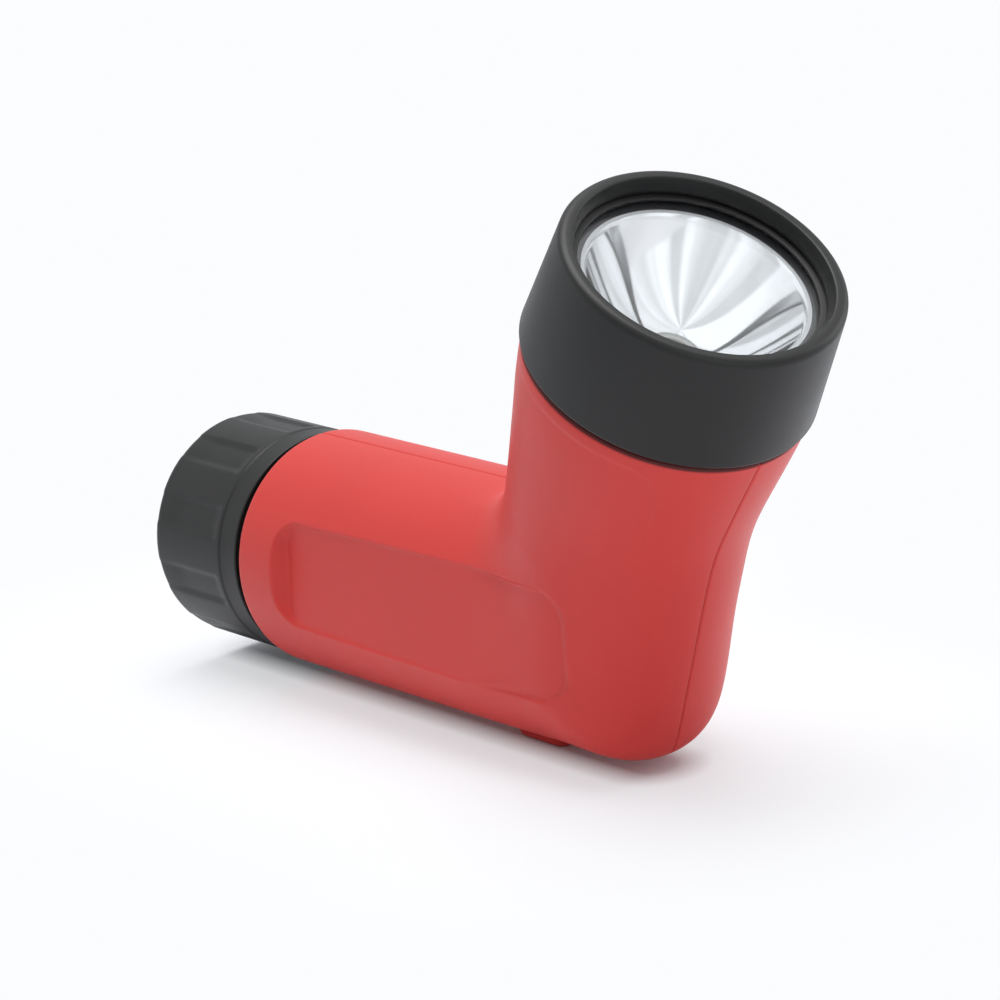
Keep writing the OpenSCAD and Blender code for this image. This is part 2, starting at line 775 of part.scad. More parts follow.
// Thumb piece with sloped ends and three cross ribs between shallow grooves
module switch_slider() {
    depth = slider_flat_z - slide_clear + base_h;
    color("firebrick") place() translate([switch_x, 0, -base_h])
        union() {
            difference() {
                intersection() {
                    rounded_plate(slider_l, slider_w, depth, slider_corner_r);
                    rotate([90, 0, 0]) linear_extrude(slider_w, center = true)
                        polygon([
                            [-slider_l / 2 + slider_bevel, 0], [slider_l / 2 - slider_bevel, 0],
                            [slider_l / 2, slider_bevel], [slider_l / 2, depth],
                            [-slider_l / 2, depth], [-slider_l / 2, slider_bevel]
                        ]);
                }
                for (i = [-1, 0, 1])
                    translate([i * rib_pitch, 0, 0]) rotate([90, 0, 0])
                        cylinder(r = rib_groove_r, h = rib_groove_l, center = true);
            }
            translate([0, 0, depth - 0.5])
                linear_extrude(slider_plate_z + base_h - depth + 0.5)
                    square([stem_l, stem_w], center = true);
        }
}
module slider_plate() {
    color("black") place() translate([switch_x, 0, slider_plate_z])
        linear_extrude(slider_plate_t) square([slider_plate_l, slider_plate_w], center = true);
}
module switch_lever() {
    color("white") place() translate([switch_x, 0, slider_top_z])
        linear_extrude(lever_h) square([lever_l, lever_w], center = true);
}

module lens() {
    color("lightcyan", 0.4) place() along_head(lens_s) cylinder(r = lens_r, h = lens_t);
}
module lens_gasket() {
    color("gray") place() along_head(gasket_s) disc(lens_r, gasket_t, gasket_r);
}
// Turned section of the ring, with its front rim rounded by an arc
module bezel_ring() {
    rim = [for (a = [0 : 15 : 90]) [rim_mid_r, rim_mid_s] + ring_round * [cos(a), sin(a)]];
    color("dimgray") place() along_head(0)
        rotate_extrude() polygon(concat(
            [
                [ring_bore_r, ring_rear_s],
                [ring_rear_r - ring_edge, ring_rear_s], [ring_rear_r, ring_rear_s + ring_edge]
            ],
            rim,
            [
                [ring_mouth_r, ring_front_s], [ring_lip_r, lip_s + ring_lip_t],
                [ring_lip_r, lip_s], [ring_bore_r, lip_s]
            ]
        ));
}

echo("least gap between the turns of the tail spring", spring_l / spring_turns - 2 * spring_wire_r);
module tail_spring() {
    color("silver") place()
        tube(cone_coil(spring_x, spring_l, spring_coil_r, spring_coil_r, spring_turns, 0), spring_wire_r, 6);
}
module spring_seat() {
    color("silver") place() along_handle(cap_floor_x + fit_gap)
        disc(spring_coil_r + 2.5, seat_plate_t, socket_r + 1);
}
// Screw cap: plain collar at the mouth, then a grip whose grooves run out at the rear edge
module tail_cap() {
    color("dimgray") place()
        difference() {
            along_handle(cap_end_x)
                rotate_extrude() polygon(concat(
                    [[0, 0]],
                    [
                        for (a = [-90 : 15 : 0])
                            [cap_r - cap_edge_r, cap_edge_r] + cap_edge_r * [cos(a), sin(a)]
                    ],
                    [
                        [cap_r, cap_l - collar_l - collar_edge], [collar_r, cap_l - collar_l],
                        [collar_r, cap_l - collar_edge], [collar_r - collar_edge, cap_l], [cap_bore_r, cap_l],
                        [cap_bore_r, cap_step_x - cap_end_x], [cap_pocket_r, cap_step_x - cap_end_x],
                        [cap_pocket_r, cap_end_t], [0, cap_end_t]
                    ]
                ));
            for (i = [0 : groove_n - 1])
                rotate([-5 + 360 / groove_n * i, 0, 0])
                    translate([cap_end_x - 1, -groove_w / 2, cap_r - groove_d])
                        cube([groove_end_x - cap_end_x + 1, groove_w, 5]);
        }
}

body_half_left();
body_half_right();
head_o_ring();
tail_gasket();
reflector();
led_emitter();
led_board();
led_spacer();
heat_sink();
lamp_screws();
lamp_wires();
driver_board();
driver_parts();
board_screws();
switch_case();
contact_board();
contact_springs();
battery_wires();
battery_cells();
cell_links();
pack_sleeve();
pack_front_plate();
pack_rear_plate();
charge_socket();
switch_slider();
slider_plate();
switch_lever();
lens();
lens_gasket();
bezel_ring();
tail_spring();
spring_seat();
tail_cap();
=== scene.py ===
import math

import bpy
import numpy as np
from mathutils import Matrix, Vector


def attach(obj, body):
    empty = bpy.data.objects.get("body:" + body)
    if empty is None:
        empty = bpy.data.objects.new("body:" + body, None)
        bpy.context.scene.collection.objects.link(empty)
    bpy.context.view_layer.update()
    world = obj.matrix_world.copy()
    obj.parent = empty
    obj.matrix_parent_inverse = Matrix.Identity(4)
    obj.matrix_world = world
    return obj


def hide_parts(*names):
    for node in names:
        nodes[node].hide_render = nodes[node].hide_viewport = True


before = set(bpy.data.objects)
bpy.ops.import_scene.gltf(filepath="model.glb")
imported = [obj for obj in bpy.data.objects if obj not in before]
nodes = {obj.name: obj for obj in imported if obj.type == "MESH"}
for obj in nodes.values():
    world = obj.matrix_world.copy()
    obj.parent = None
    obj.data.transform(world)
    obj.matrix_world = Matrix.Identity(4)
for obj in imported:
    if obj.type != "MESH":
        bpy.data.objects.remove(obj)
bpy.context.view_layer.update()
bpy.context.scene.view_settings.view_transform = "Standard"

# Body of the lamp: two mirrored shells of red moulded plastic that meet in an upright seam.
# The handle runs into an elbow and a neck; the tail neck and the head spigot carry threads.
# Each flank of the handle has a flat grip panel with soft edges, and a flat below holds the switch.
MM = 0.001
TILT = math.radians(32)
HEAD = np.array([math.sin(TILT), math.cos(TILT)])
FRONT = np.array([math.cos(TILT), -math.sin(TILT)])
HANDLE_R, SEAT_X, SEAT_S, NECK_R, WAIST_W = 25.0, -80.8, 65.0, 28.2, 23.4
RING_FRONT_S, RING_FRONT_R, RIM_ROUND = 89.9, 27.6, 1.5
CAP_END_X = -113.2
FRONT_X = (RING_FRONT_S - RIM_ROUND) * HEAD[0] + (RING_FRONT_R - RIM_ROUND) * HEAD[1] + RIM_ROUND
ELBOW = np.array([-(FRONT_X + CAP_END_X) / 2, 0.0, 27.5])
HEAD_3 = Vector((HEAD[0], 0, HEAD[1]))
FRONT_3 = Vector((FRONT[0], 0, FRONT[1]))
PITCH = 2.5
TAIL_NECK_R, TAIL_ROUND = 21.6, 1.2
SPIGOT_R, NECK_ROUND = 25.1, 1.3
CROOK_R, NECK_SLOPE = 9.0, math.radians(21.5)
NOSE_X, NOSE_SLOPE, CORNER_POWER = 34.9, math.radians(21.4), 34
FRONT_FLARE, WAIST_ROUND = 0.09, 0.8
GRIP_LEAN = math.radians(6.8)
GRIP_REAR, GRIP_FRONT, GRIP_FRONT_LEAN = -68.9, 23.3, 1.8
GRIP_HALF_H, GRIP_WIDENS, GRIP_CORNER = 10.9, 1.3, 6.5
GRIP_FLOOR, GRIP_FRONT_DEPTH = 21.85, 1.05
SLOT_X, THUMB_X = -7.0, -9.5


def soft_min(a, b, reach):
    """The lesser of two heights, rounded where they meet."""
    t = np.clip(0.5 + 0.5 * (b - a) / reach, 0, 1)
    return b + (a - b) * t - reach * t * (1 - t)


def soft_max(a, b, reach):
    return -soft_min(-a, -b, reach)


def ease(value, low, high):
    """Rises softly from 0 to 1 between two places."""
    t = np.clip((value - low) / (high - low), 0, 1)
    return t * t * (3 - 2 * t)


def body_stations():
    """Rows of the shell from the tail neck to the head spigot: back point, front point, half width."""
    rows = []

    def round_tail(x, r):
        rows.append((np.array([x, r]), np.array([x, -r]), r))

    def round_head(s, r):
        rows.append((s * HEAD - r * FRONT, s * HEAD + r * FRONT, r))

    # tail neck and the rounded rear edge of the handle
    for x, r in [(-99.8, 20.8), (-99.8, 21.1), (-99.6, 21.4), (-99.2, TAIL_NECK_R)]:
        round_tail(x, r)
    for x in np.arange(-98.8, -83.9, 0.42):
        round_tail(x, TAIL_NECK_R)
    for x, r in [(-83, TAIL_NECK_R), (-81.3, TAIL_NECK_R), (-80.95, 21.7), (SEAT_X, 22.0), (SEAT_X, 23.0)]:
        round_tail(x, r)
    for a in np.radians(np.arange(0, 91, 15)):
        round_tail(
            SEAT_X + TAIL_ROUND - TAIL_ROUND * math.cos(a), HANDLE_R - TAIL_ROUND + TAIL_ROUND * math.sin(a)
        )
    seat_back = SEAT_S * HEAD - NECK_R * FRONT
    crook_z = HANDLE_R + CROOK_R
    crook_drop = CROOK_R + math.sin(NECK_SLOPE) * (seat_back[1] - crook_z)
    crook = np.array([seat_back[0] - crook_drop / math.cos(NECK_SLOPE), crook_z])
    normal = np.array([math.cos(NOSE_SLOPE), -math.sin(NOSE_SLOPE)])

    def front_reach(point, way):
        # the nose's straight line and the neck's flare, rounded where they meet at the waist
        line = (np.array([NOSE_X, 0]) - point) @ normal / (way @ normal)
        flare = NECK_R - FRONT_FLARE * (SEAT_S - point @ HEAD) - point @ FRONT
        flare = flare / (way @ (FRONT - FRONT_FLARE * HEAD))
        return max(line, flare) + WAIST_ROUND * math.log(1 + math.exp(-abs(line - flare) / WAIST_ROUND))

    # handle: rows close together at the panel's rear end and ahead of the crook
    handle_x = np.concatenate([
        np.arange(-78.5, -72.4, 1.5), np.arange(-72, -63.9, 0.4),
        np.arange(-62, -22, 2.5), np.arange(-20, -14.9, 0.5),
    ])
    for x in handle_x:
        round_tail(x, HANDLE_R)
    round_tail(crook[0], HANDLE_R)
    # elbow: rows fan out about the crook's centre
    fan_end = math.pi / 2 - NECK_SLOPE
    for a in np.linspace(0, fan_end, 112)[1:]:
        way = np.array([math.sin(a), -math.cos(a)])
        under = (crook_z + HANDLE_R) / math.cos(a)
        reach = under ** -CORNER_POWER + front_reach(crook, way) ** -CORNER_POWER
        width = HANDLE_R + (WAIST_W - HANDLE_R) * ease(a, 0, fan_end / 2)
        rows.append((crook + CROOK_R * way, crook + reach ** (-1 / CORNER_POWER) * way, width))
    # neck, then its rounded top
    fan_back = rows[-1][0]
    fan_s = rows[-1][1] @ HEAD
    for s in np.concatenate([np.linspace(fan_s, 59.2, 19)[1:], np.arange(59.6, 63.8, 0.4)]):
        neck_back = fan_back + (seat_back - fan_back) * (s - fan_s) / (SEAT_S - fan_s)
        neck_front = s * HEAD + front_reach(s * HEAD, FRONT) * FRONT
        rows.append((neck_back, neck_front, WAIST_W + (NECK_R - WAIST_W) * ease(s, fan_s, SEAT_S)))
    for a in np.radians([15, 30, 45, 60, 75, 90]):
        round_head(
            SEAT_S - NECK_ROUND + NECK_ROUND * math.sin(a), NECK_R - NECK_ROUND + NECK_ROUND * math.cos(a)
        )
    # spigot with the groove of its seal
    for s, r in [(SEAT_S, 26.4), (SEAT_S, 25.5), (65.15, 25.2), (65.5, SPIGOT_R), (67.3, SPIGOT_R),
                 (67.5, 24.9), (67.52, 24.42), (69.08, 24.42), (69.1, 24.9), (69.3, SPIGOT_R)]:
        round_head(s, r)
    for s in np.arange(70.2, 81.4, 0.42):
        round_head(s, SPIGOT_R)
    for s, r in [(81.8, SPIGOT_R), (82.1, 24.9), (82.2, 24.6), (82.2, 23.6)]:
        round_head(s, r)
    return rows


def thread_height(along, angle, start, end, height):
    """A blunt right-hand thread that runs in and out at its ends."""
    turn = (along / PITCH - angle / (2 * math.pi)) % 1.0
    crest = np.clip(1.7 - np.abs(turn - 0.5) * 7, 0, 1)
    ends = np.clip((along - start) / 1.2, 0, 1) * np.clip((end - along) / 1.2, 0, 1)
    return height * crest * ends


def half_height(x):
    """Half the height of the grip panel, which widens a little towards the front."""
    return GRIP_HALF_H + GRIP_WIDENS * np.clip((x - GRIP_REAR) / (GRIP_FRONT - GRIP_REAR), 0, 1)


def ring_turns(back, front, width):
    """Angles of the points round each row, close together along the panel's upper and lower edge."""
    edges = []
    upper, lower = 0.97, 1.93
    t = np.linspace(0.05, math.pi - 0.05, 400)
    for b, f, w in zip(back, front, width):
        spot = (b + f) / 2 + (b - f) / 2 * np.cos(t)[:, None]
        up = spot[:, 1] * math.cos(GRIP_LEAN) - w * np.sin(t) * math.sin(GRIP_LEAN)
        half = half_height(spot[:, 0])
        if b[0] > -60 and b[1] < 40:
            if up[0] > half[0] and np.any(up < half):
                upper = t[np.argmax(up < half)]
            if np.any(up < -half):
                lower = t[np.argmax(up < -half)]
        lower = min(lower, 2.6)
        edges.append((min(upper, lower - 0.45), lower))
    edges = np.array(edges)
    for _ in range(6):
        edges[1:-1] = (edges[:-2] + 2 * edges[1:-1] + edges[2:]) / 4
    seam = np.array([0, 0.005, 0.011, 0.018, 0.028])
    return np.array([
        np.concatenate([
            seam, np.linspace(0.045, a - 0.08, 30), np.linspace(a - 0.065, a + 0.065, 13),
            np.linspace(a + 0.08, c - 0.08, 54), np.linspace(c - 0.065, c + 0.065, 13),
            np.linspace(c + 0.08, math.pi - 0.045, 30), math.pi - seam[::-1],
        ]) for a, c in edges
    ])


def open_crook(x, y, z, turn):
    """Fills the flank's inner corner between handle and neck by smoothing the lines along the body."""
    step, spread, count = 0.5, 8.0, 48
    kernel = np.exp(-0.5 * (np.arange(-count, count + 1) * step / spread) ** 2)
    kernel = kernel / kernel.sum()
    s = x * HEAD[0] + z * HEAD[1]
    share = ease(turn, 0.1, 0.5) * (1 - ease(turn, 1.2, 1.9))
    share = share * ease(x, -52, -26) * (1 - ease(s, 44, 57))
    eased = [np.array(v) for v in (x, y, z)]
    for j in range(x.shape[1]):
        steps = np.hypot(np.hypot(np.diff(x[:, j]), np.diff(y[:, j])), np.diff(z[:, j]))
        along = np.concatenate([[0], np.cumsum(steps)])
        even = np.arange(0, along[-1], step)
        for v, new in zip((x, y, z), eased):
            line = np.pad(np.interp(even, along, v[:, j]), count, mode="edge")
            smooth = np.interp(along, even, np.convolve(line, kernel, mode="valid"))
            new[:, j] = v[:, j] + share[:, j] * (smooth - v[:, j])
    return eased


def body_points(side):
    """Points of one half; side is -1 for the left half and 1 for the right."""
    rows = body_stations()
    back = np.array([r[0] for r in rows])
    front = np.array([r[1] for r in rows])
    width = np.array([r[2] for r in rows])
    turn = ring_turns(back, front, width)
    # the nose is squarer in section than the neck above it
    square = ease(front[:, 0], 5, 25) * (1 - ease(front[:, 1], -21, 2))
    corners = np.where(turn > math.pi / 2, np.sin(2 * turn) ** 2, 0)
    swell = 1 + 0.034 * square[:, None] * corners
    back, front = back[:, None, :], front[:, None, :]
    flat = (back + front) / 2 + (back - front) / 2 * (np.cos(turn) * swell)[:, :, None]
    x, z = flat[..., 0], flat[..., 1]
    y = -width[:, None] * np.sin(turn) * swell

    # fine V along the seam
    seam = 0.22 * np.clip(1 - np.minimum(turn, math.pi - turn) / 0.016, 0, 1)
    away = flat - (back + front) / 2
    away = away / np.maximum(np.linalg.norm(away, axis=2, keepdims=True), 1e-6)
    x = x - seam * away[..., 0]
    z = z - seam * away[..., 1]
    y = np.minimum(y, -0.03)
    x, y, z = open_crook(x, y, z, turn)

    # grip panel: flat along the handle, then at an even depth round the elbow, with soft edges
    out = -y * math.cos(GRIP_LEAN) + z * math.sin(GRIP_LEAN)
    up = y * math.sin(GRIP_LEAN) + z * math.cos(GRIP_LEAN)
    front_end = GRIP_FRONT - GRIP_FRONT_LEAN + GRIP_FRONT_LEAN * np.clip(up / 12, -1, 1)
    gap_x = np.maximum(GRIP_REAR - x, x - front_end) + GRIP_CORNER
    gap_up = np.abs(up) - half_height(x) + GRIP_CORNER
    edge = np.hypot(np.maximum(gap_x, 0), np.maximum(gap_up, 0))
    edge = edge + np.minimum(np.maximum(gap_x, gap_up), 0) - GRIP_CORNER
    share = ease(x, GRIP_FRONT - 30.8, GRIP_FRONT - 8.8)
    deep = np.maximum(out - GRIP_FLOOR, 0) * (1 - share) + GRIP_FRONT_DEPTH * share
    wall = soft_max(out - deep, out + edge * (1.5 - 0.3 * share), 0.4)
    panel = soft_min(out, wall, 0.22)
    panel = np.where((out > 12.5) & (edge < 3), panel, out)
    y = -panel * math.cos(GRIP_LEAN) + up * math.sin(GRIP_LEAN)
    z = panel * math.sin(GRIP_LEAN) + up * math.cos(GRIP_LEAN)

    # flat for the switch under the handle, with a rounded outline
    half_l, half_w, corner, flat_z = 10.3, 6.3, 2.5, -23.5
    gap_x = np.maximum(np.abs(x - SLOT_X) - half_l + corner, 0)
    gap_y = np.maximum(np.abs(y) - half_w + corner, 0)
    outline = np.hypot(gap_x, gap_y) - corner
    lowest = flat_z - np.maximum(outline, 0) * 6
    z = np.where((z < -18) & (outline < 1.5), soft_max(z, lowest, 0.3), z)

    # blunt threads on the tail neck and the spigot
    y = np.abs(y) * side
    tail = (x < -81) & (np.hypot(y, z) > 21.3)
    lift = thread_height(x, np.arctan2(z, y), -98.6, -84.2, 0.6)
    scale = np.where(tail, 1 + lift / np.maximum(np.hypot(y, z), 1), 1)
    y, z = y * scale, z * scale
    s = x * HEAD[0] + z * HEAD[1]
    f = x * FRONT[0] + z * FRONT[1]
    radius = np.hypot(f, y)
    lift = thread_height(s, np.arctan2(y, f), 70.3, 81.4, 0.65)
    scale = np.where((s > 69.9) & (radius > 24.9), 1 + lift / np.maximum(radius, 1), 1)
    # faint sunk field on each side of the neck, with a fine upper and front edge
    top, fore, corner = 61.5, 21.5, 5
    gap_s, gap_f = np.maximum(s - top + corner, 0), np.maximum(f - fore + corner, 0)
    field = 1 - ease(np.hypot(gap_s, gap_f), corner - 0.4, corner + 0.4)
    field = 0.25 * field * ease(s, 38, 58) * ease(f, -16, -6) * (radius > 15)
    scale = scale * (1 - field / np.maximum(radius, 1))
    f, y = f * scale, y * scale
    x, z = s * HEAD[0] + f * FRONT[0], s * HEAD[1] + f * FRONT[1]
    return (np.stack([x, y, z], axis=2) + ELBOW) * MM


def bare():
    """Nothing selected, in object mode."""
    if bpy.context.object and bpy.context.object.mode != "OBJECT":
        bpy.ops.object.mode_set(mode="OBJECT")
    bpy.ops.object.select_all(action="DESELECT")


def take(piece):
    bare()
    piece.select_set(True)
    bpy.context.view_layer.objects.active = piece
    return piece


def apply_all(piece):
    take(piece)
    for modifier in list(piece.modifiers):
        bpy.ops.object.modifier_apply(modifier=modifier.name)


def settle(piece, name, angle=35):
    """Puts the piece's place into its mesh and shades it."""
    take(piece)
    bpy.ops.object.transform_apply(location=True, rotation=True, scale=True)
    bpy.ops.object.shade_smooth_by_angle(angle=math.radians(angle))
    piece.name = name
    piece.data.name = name
    return piece


def shell_half(name, side):
    """One half of the body: a grid laid onto its points, given a wall and the slot for the switch."""
    points = body_points(side)
    bare()
    rows, columns = points.shape[:2]
    bpy.ops.mesh.primitive_grid_add(x_subdivisions=columns - 1, y_subdivisions=rows - 1, size=2)
    piece = bpy.context.object
    start = np.zeros(len(piece.data.vertices) * 3)
    piece.data.vertices.foreach_get("co", start)
    start = start.reshape(-1, 3)
    order = np.lexsort((np.round(start[:, 0], 6), np.round(start[:, 1], 6)))
    placed = np.zeros_like(start)
    placed[order] = points.reshape(-1, 3)
    piece.data.vertices.foreach_set("co", placed.ravel())
    piece.data.update()
    middle = piece.data.polygons[len(piece.data.polygons) // 3]
    outward = Vector((0, middle.center.y, middle.center.z - ELBOW[2] * MM))
    if middle.normal.dot(outward) < 0:
        bpy.ops.object.mode_set(mode="EDIT")
        bpy.ops.mesh.select_all(action="SELECT")
        bpy.ops.mesh.flip_normals()
        bpy.ops.object.mode_set(mode="OBJECT")
    thin = piece.vertex_groups.new(name="wall")
    thin.add(range(len(placed)), 1.0, "REPLACE")
    tail = np.where(placed[:, 0] < (ELBOW[0] - 79.5) * MM)[0].tolist()
    thin.add(tail, 0.45, "REPLACE")
    wall = piece.modifiers.new("wall", "SOLIDIFY")
    wall.thickness = 1.7 * MM
    wall.offset = -1
    wall.vertex_group = "wall"
    bpy.ops.mesh.primitive_cube_add(size=1)
    cutter = bpy.context.object
    cutter.scale = (10.8 * MM, 5.2 * MM, 12 * MM)
    cutter.location = ((ELBOW[0] + SLOT_X) * MM, 0, (ELBOW[2] - 21) * MM)
    cut = piece.modifiers.new("stem_slot", "BOOLEAN")
    cut.object = cutter
    cut.operation = "DIFFERENCE"
    cut.solver = "FAST"
    apply_all(piece)
    bpy.data.objects.remove(cutter)
    piece.vertex_groups.clear()
    return settle(piece, name, 40)


class Flow:
    """A shader value that can be used in sums."""

    def __init__(self, tree, socket=None):
        self.tree = tree
        self.socket = socket

    def make(self, kind, settings=None, inputs=None, out=0):
        node = self.tree.nodes.new(kind)
        for key, value in (settings or {}).items():
            if key == "stops":
                for i, (place, colour) in enumerate(value):
                    stop = node.color_ramp.elements[i] if i < 2 else node.color_ramp.elements.new(place)
                    stop.position = place
                    stop.color = colour
            else:
                setattr(node, key, value)
        for key, value in (inputs or {}).items():
            if isinstance(value, Flow):
                self.tree.links.new(value.socket, node.inputs[key])
            else:
                node.inputs[key].default_value = value
        return Flow(self.tree, node.outputs[out])

    def noise(self, place, scale, detail):
        where = {"Vector": place, "Scale": scale, "Detail": detail}
        return self.make("ShaderNodeTexNoise", None, where, "Fac")

    def ramp(self, value, low, high, start, end):
        """Goes from start to end while the value goes from low to high."""
        return self.make("ShaderNodeMapRange", None, {0: value, 1: low, 2: high, 3: start, 4: end})

    def vector(self, operation, inputs, out="Vector"):
        return self.make("ShaderNodeVectorMath", {"operation": operation}, inputs, out)

    def sum_of(self, operation, a, b):
        return self.make("ShaderNodeMath", {"operation": operation}, {0: a, 1: b})

    def __add__(self, other):
        return self.sum_of("ADD", self, other)

    def __sub__(self, other):
        return self.sum_of("SUBTRACT", self, other)

    def __rsub__(self, other):
        return self.sum_of("SUBTRACT", other, self)

    def __mul__(self, other):
        return self.sum_of("MULTIPLY", self, other)

    def __gt__(self, other):
        return self.sum_of("GREATER_THAN", self, other)


def new_finish(name):
    """A material with one Principled shader: the material, its shader node and a start for its sums."""
    finish = bpy.data.materials.new(name)
    finish.use_nodes = True
    tree = finish.node_tree
    return finish, tree.nodes["Principled BSDF"], Flow(tree)


def join(flow, shader, socket):
    flow.tree.links.new(flow.socket, shader.inputs[socket])


def tint(flow, amount, low, high):
    """A colour between two, chosen by a value from 0 to 1."""
    return flow.make("ShaderNodeMix", {"data_type": "RGBA"}, {0: amount, 6: low, 7: high}, out=2)


def moulded_finish(name, low, high, rough, grain, grain_size=0.00022, shine=0.3, joint=False):
    """Moulded plastic: cloudy colour, fine grain, varied sheen; its last switch paints a shade band on the
    neck just under the head ring.
    """
    finish, shader, flow = new_finish(name)
    place = flow.make("ShaderNodeTexCoord", out="Object")
    clouds = flow.noise(place, 38.0, 4.0)
    specks = flow.noise(place, 900.0, 2.0)
    fine = flow.noise(place, 0.5 / grain_size, 3.0)
    colour = tint(flow, clouds * 0.75 + specks * 0.25, low, high)
    if joint:
        # painted shade: a dark band on the neck just under the head ring, where the ring's overhang shades
        # it
        seat = Vector(ELBOW).dot(HEAD_3) + SEAT_S
        along = flow.vector("DOT_PRODUCT", {0: place, 1: HEAD_3}, "Value")
        start = flow.ramp(along, (seat - 1.1) * MM, (seat - 0.7) * MM, 0.0, 0.9)
        end = flow.ramp(along, (seat - 0.1) * MM, (seat + 0.1) * MM, 0.0, 0.9)
        colour = tint(flow, start - end, colour, (0.03, 0.004, 0.004, 1))
    join(colour, shader, "Base Color")
    join(clouds * 0.12 + fine * 0.1 + (rough - 0.11), shader, "Roughness")
    shader.inputs["Specular IOR Level"].default_value = shine
    height = fine * 0.8 + specks * 0.2
    relief = {"Strength": grain, "Distance": 0.00006, "Height": height}
    join(flow.make("ShaderNodeBump", None, relief, "Normal"), shader, "Normal")
    return finish


def dress(piece, finish):
    piece.data.materials.clear()
    piece.data.materials.append(finish)
    return piece


# the red shells carry the painted shade band under the head ring
red_plastic = moulded_finish(
    "red_moulded", (0.55, 0.036, 0.030, 1), (0.62, 0.048, 0.040, 1), 0.44, 0.22, joint=True
)
left_shell = dress(shell_half("left_shell", -1), red_plastic)
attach(left_shell, "body")
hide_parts("body_half_left")
right_shell = dress(shell_half("right_shell", 1), red_plastic)
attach(right_shell, "body")
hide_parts("body_half_right")

# Seal under the head ring and gasket behind the handle: plain black moulded rubber rings.
# The first lies in its groove on the spigot; the second is pinched between cap and body.
CENTRE = Vector(ELBOW) * MM


def turned(name, outline, along_head=True, steps=160, angle=35):
    """A ring turned from a closed outline of (radius, distance along the axis) in millimetres."""
    bare()
    bpy.ops.mesh.primitive_circle_add(vertices=len(outline), radius=1, fill_type="NOTHING")
    piece = bpy.context.object
    axis = HEAD_3 if along_head else Vector((1, 0, 0))
    radial = FRONT_3 if along_head else Vector((0, 0, 1))
    for vertex, (r, h) in zip(piece.data.vertices, outline):
        vertex.co = CENTRE + radial * (r * MM) + axis * (h * MM)
    bpy.ops.object.mode_set(mode="EDIT")
    bpy.ops.mesh.select_all(action="SELECT")
    bpy.ops.mesh.spin(steps=steps, angle=2 * math.pi, center=CENTRE, axis=axis)
    bpy.ops.mesh.select_all(action="SELECT")
    bpy.ops.mesh.remove_doubles(threshold=0.000004)
    bpy.ops.mesh.delete_loose(use_verts=True, use_edges=True)
    bpy.ops.mesh.select_all(action="SELECT")
    bpy.ops.mesh.normals_make_consistent(inside=False)
    bpy.ops.object.mode_set(mode="OBJECT")
    return settle(piece, name, angle)


def arc(r, h, size, start, end, count=6):
    """Points of a rounded corner about (r, h), from one angle to another in degrees."""
    return [
        (r + size * math.cos(math.radians(a)), h + size * math.sin(math.radians(a)))
        for a in np.linspace(start, end, count)
    ]


rubber = moulded_finish("black_rubber", (0.004, 0.004, 0.004, 1), (0.008, 0.008, 0.008, 1), 0.7, 0.3)
tail_gasket = turned(
    "tail_gasket_ring",
    [(22.06, -81.8), (22.06, -80.82)]
    + arc(23.25, -81.07, 0.25, 90, 0, 4) + arc(23.25, -81.55, 0.25, 0, -90, 4),
    along_head=False,
)
dress(tail_gasket, rubber)
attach(tail_gasket, "body")
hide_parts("tail_gasket")
dress(nodes["head_o_ring"], rubber)

# Reflector: a thin moulded dish with a bright metal coat and a flat rim that lies on the spigot.
# Three screw posts on its back carry the heat sink, so the whole lamp drops in from the front.
FLANGE_TOP, FOCUS, DISH_R, HOLE_R = 83.6, 6.6, 21.2, 5.5
DISH_S0 = FLANGE_TOP - DISH_R ** 2 / (4 * FOCUS)
POST_R, POST_L, POST_CIRCLE = 2.7, 5, 12.5
dish = [(r, DISH_S0 + r * r / (4 * FOCUS)) for r in np.linspace(HOLE_R, DISH_R - 0.15, 40)]
dish_back = [
    (r + 1.0, DISH_S0 + r * r / (4 * FOCUS) - 0.75) for r in np.linspace(DISH_R - 0.6, HOLE_R + 0.2, 24)
]
reflector = turned(
    "reflector_dish",
    dish + arc(DISH_R + 0.2, FLANGE_TOP - 0.2, 0.2, 150, 90, 3)
    + arc(24.75, FLANGE_TOP - 0.25, 0.25, 90, 0, 4)
    + [(25.0, 82.22), (22.6, 82.22)] + dish_back
    + [(HOLE_R + 1.2, DISH_S0 + 0.75), (HOLE_R, DISH_S0 + 0.75)],
    steps=192, angle=30,
)
posts = []
for turn in (60, 180, 300):
    bare()
    bpy.ops.mesh.primitive_cylinder_add(vertices=28, radius=POST_R * MM, depth=POST_L * MM)
    post = bpy.context.object
    a = math.radians(turn)
    middle = CENTRE + HEAD_3 * ((DISH_S0 - 1.85 + POST_L / 2) * MM)
    post.location = middle + (FRONT_3 * math.cos(a) + Vector((0, 1, 0)) * math.sin(a)) * (POST_CIRCLE * MM)
    post.rotation_euler = (0, TILT, 0)
    bevel = post.modifiers.new("edge", "BEVEL")
    bevel.width = 0.3 * MM
    bevel.segments = 2
    apply_all(post)
    posts.append(settle(post, "lamp_post"))
bare()
for piece in posts + [reflector]:
    piece.select_set(True)
bpy.context.view_layer.objects.active = reflector
bpy.ops.object.join()
mirror_coat, shader, flow = new_finish("mirror_coat")
place = flow.make("ShaderNodeTexCoord", out="Object")
haze = flow.noise(place, 130.0, 5.0)
bright = tint(flow, haze, (0.80, 0.81, 0.82, 1), (0.93, 0.93, 0.93, 1))
